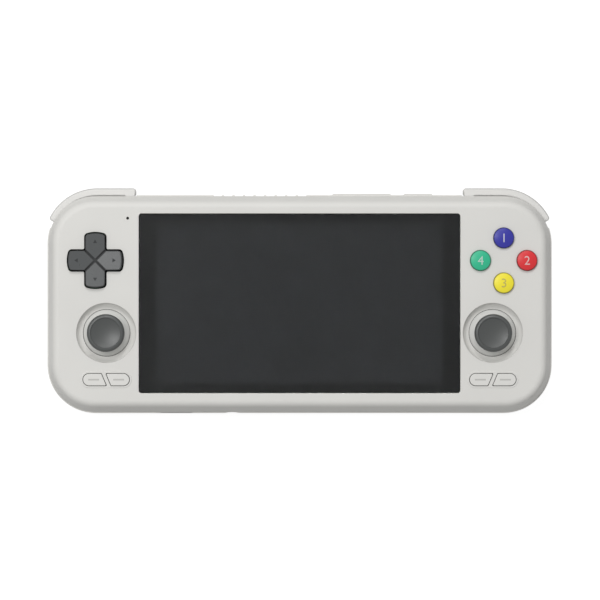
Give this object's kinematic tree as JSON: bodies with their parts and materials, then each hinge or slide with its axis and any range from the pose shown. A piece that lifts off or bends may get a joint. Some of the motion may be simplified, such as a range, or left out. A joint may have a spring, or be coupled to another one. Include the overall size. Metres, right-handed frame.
{
  "type": "handheld game console",
  "caption": "Handheld game console with a wide screen between a cross pad, thumbsticks and coloured face buttons; sticks, keys, bumpers, triggers and fan all move.",
  "frame": {"origin": "on the flat back face, under the centre of the case outline", "axes": "+X to the player's right, +Y to the bumpers and triggers, +Z out of the screen"},
  "size_m": [0.1852, 0.0825, 0.0196],
  "materials": {
    "shell_plastic": "fine satin texture",
    "rear_plastic": "fine satin texture",
    "shoulder_plastic": "smooth satin",
    "cover_glass": "polished, black border",
    "display": "dark panel in a metal tray",
    "pad_plastic": "satin dark grey",
    "blue_plastic": "polished",
    "green_plastic": "polished",
    "red_plastic": "polished",
    "yellow_plastic": "polished",
    "key_plastic": "satin",
    "skirt_plastic": "satin light grey",
    "stick_rubber": "matt moulded rubber",
    "silicone": "translucent grey silicone",
    "board": "green solder mask",
    "steel": "plain steel",
    "black_screw": "black oxide steel",
    "tin": "tinned steel sheet",
    "inner_plastic": "black moulded plastic",
    "brass_ball": "turned",
    "fin_metal": "bare fins",
    "cell_foil": "grey laminated foil"
  },
  "bodies": {
    "console": {"front_shell": "shell_plastic", "rear_cover": "rear_plastic", "screen_glass": "cover_glass", "display_panel": "display", "dpad_membrane": "silicone", "face_button_membrane": "silicone", "left_key_membrane": "silicone", "right_key_membrane": "silicone", "side_key_board": "board", "left_control_board": "board", "right_control_board": "board", "main_board": "board", "shield_can": "tin", "fan_housing": "inner_plastic", "heat_sink": "fin_metal", "battery": "cell_foil", "port_board": "board", "headphone_jack": "inner_plastic", "charging_port": "tin", "card_socket": "tin", "left_speaker": "inner_plastic", "right_speaker": "inner_plastic", "rear_screws": "black_screw", "board_screws": "steel", "left_stick_housing": "inner_plastic", "left_bumper_pin": "steel", "left_trigger_pin": "steel", "right_stick_housing": "inner_plastic", "right_bumper_pin": "steel", "right_trigger_pin": "steel"},
    "dpad_pivot": {"dpad_pivot_ball": "brass_ball"},
    "dpad": {"dpad": "pad_plastic"},
    "top_face_button": {"top_face_button": "blue_plastic"},
    "left_face_button": {"left_face_button": "green_plastic"},
    "right_face_button": {"right_face_button": "red_plastic"},
    "bottom_face_button": {"bottom_face_button": "yellow_plastic"},
    "home_button": {"home_button": "key_plastic"},
    "back_button": {"back_button": "key_plastic"},
    "select_button": {"select_button": "key_plastic"},
    "start_button": {"start_button": "key_plastic"},
    "volume_rocker": {"volume_rocker": "key_plastic"},
    "power_button": {"power_button": "key_plastic"},
    "fan_rotor": {"fan_rotor": "inner_plastic"},
    "left_stick_yoke": {"left_stick_yoke": "steel"},
    "left_stick_hub": {"left_stick_hub": "inner_plastic"},
    "left_stick": {"left_stick_shaft": "steel", "left_stick_skirt": "skirt_plastic", "left_stick_cap": "stick_rubber"},
    "left_bumper": {"left_bumper": "shoulder_plastic"},
    "left_trigger": {"left_trigger": "shoulder_plastic"},
    "right_stick_yoke": {"right_stick_yoke": "steel"},
    "right_stick_hub": {"right_stick_hub": "inner_plastic"},
    "right_stick": {"right_stick_shaft": "steel", "right_stick_skirt": "skirt_plastic", "right_stick_cap": "stick_rubber"},
    "right_bumper": {"right_bumper": "shoulder_plastic"},
    "right_trigger": {"right_trigger": "shoulder_plastic"}
  },
  "joints": [
    {"name": "dpad_rock_up_down", "type": "hinge", "parent": "console", "child": "dpad_pivot", "pos_m": [-0.07435, 0.0159, 0.0119], "axis": [1, 0, 0], "range_deg": [-5, 5], "stiffness_Nm_per_rad": 0.09},
    {"name": "dpad_rock_left_right", "type": "hinge", "parent": "dpad_pivot", "child": "dpad", "pos_m": [-0.07435, 0.0159, 0.0119], "axis": [0, 1, 0], "range_deg": [-5, 5], "stiffness_Nm_per_rad": 0.09},
    {"name": "top_face_button_press", "type": "slide", "parent": "console", "child": "top_face_button", "axis": [0, 0, -1], "range_m": [0, 0.0009], "stiffness_N_per_m": 1200},
    {"name": "left_face_button_press", "type": "slide", "parent": "console", "child": "left_face_button", "axis": [0, 0, -1], "range_m": [0, 0.0009], "stiffness_N_per_m": 1200},
    {"name": "right_face_button_press", "type": "slide", "parent": "console", "child": "right_face_button", "axis": [0, 0, -1], "range_m": [0, 0.0009], "stiffness_N_per_m": 1200},
    {"name": "bottom_face_button_press", "type": "slide", "parent": "console", "child": "bottom_face_button", "axis": [0, 0, -1], "range_m": [0, 0.0009], "stiffness_N_per_m": 1200},
    {"name": "home_button_press", "type": "slide", "parent": "console", "child": "home_button", "axis": [0, 0, -1], "range_m": [0, 0.0005], "stiffness_N_per_m": 1200},
    {"name": "back_button_press", "type": "slide", "parent": "console", "child": "back_button", "axis": [0, 0, -1], "range_m": [0, 0.0005], "stiffness_N_per_m": 1200},
    {"name": "select_button_press", "type": "slide", "parent": "console", "child": "select_button", "axis": [0, 0, -1], "range_m": [0, 0.0005], "stiffness_N_per_m": 1200},
    {"name": "start_button_press", "type": "slide", "parent": "console", "child": "start_button", "axis": [0, 0, -1], "range_m": [0, 0.0005], "stiffness_N_per_m": 1200},
    {"name": "left_stick_tilt_up_down", "type": "hinge", "parent": "console", "child": "left_stick_yoke", "pos_m": [-0.0704, -0.0105, 0.007], "axis": [1, 0, 0], "range_deg": [-15, 15], "stiffness_Nm_per_rad": 0.04},
    {"name": "left_stick_tilt_left_right", "type": "hinge", "parent": "left_stick_yoke", "child": "left_stick_hub", "pos_m": [-0.0704, -0.0105, 0.007], "axis": [0, 1, 0], "range_deg": [-15, 15], "stiffness_Nm_per_rad": 0.04},
    {"name": "left_stick_click", "type": "slide", "parent": "left_stick_hub", "child": "left_stick", "axis": [0, 0, -1], "range_m": [0, 0.0004], "stiffness_N_per_m": 2000},
    {"name": "left_bumper_press", "type": "hinge", "parent": "console", "child": "left_bumper", "pos_m": [-0.0622, 0.0366, 0.0067], "axis": [0, 0, 1], "range_deg": [0, 2], "stiffness_Nm_per_rad": 1.2},
    {"name": "left_trigger_pull", "type": "hinge", "parent": "console", "child": "left_trigger", "pos_m": [-0.074, 0.0363, 0.0065], "axis": [-1, 0, 0], "range_deg": [0, 8], "stiffness_Nm_per_rad": 0.1},
    {"name": "right_stick_tilt_up_down", "type": "hinge", "parent": "console", "child": "right_stick_yoke", "pos_m": [0.0704, -0.0105, 0.007], "axis": [1, 0, 0], "range_deg": [-15, 15], "stiffness_Nm_per_rad": 0.04},
    {"name": "right_stick_tilt_left_right", "type": "hinge", "parent": "right_stick_yoke", "child": "right_stick_hub", "pos_m": [0.0704, -0.0105, 0.007], "axis": [0, 1, 0], "range_deg": [-15, 15], "stiffness_Nm_per_rad": 0.04},
    {"name": "right_stick_click", "type": "slide", "parent": "right_stick_hub", "child": "right_stick", "axis": [0, 0, -1], "range_m": [0, 0.0004], "stiffness_N_per_m": 2000},
    {"name": "right_bumper_press", "type": "hinge", "parent": "console", "child": "right_bumper", "pos_m": [0.0622, 0.0366, 0.0067], "axis": [0, 0, -1], "range_deg": [0, 2], "stiffness_Nm_per_rad": 1.2},
    {"name": "right_trigger_pull", "type": "hinge", "parent": "console", "child": "right_trigger", "pos_m": [0.074, 0.0363, 0.0065], "axis": [-1, 0, 0], "range_deg": [0, 8], "stiffness_Nm_per_rad": 0.1},
    {"name": "volume_rock", "type": "hinge", "parent": "console", "child": "volume_rocker", "pos_m": [0.0228, 0.0361, 0.006], "axis": [0, 0, 1], "range_deg": [-2.2, 2.2], "stiffness_Nm_per_rad": 0.3},
    {"name": "power_press", "type": "slide", "parent": "console", "child": "power_button", "axis": [0, -1, 0], "range_m": [0, 0.0004], "stiffness_N_per_m": 1200},
    {"name": "fan_spin", "type": "hinge", "parent": "console", "child": "fan_rotor", "pos_m": [-0.0146, 0.012, 0.004], "axis": [0, 0, 1], "continuous": true}
  ]
}
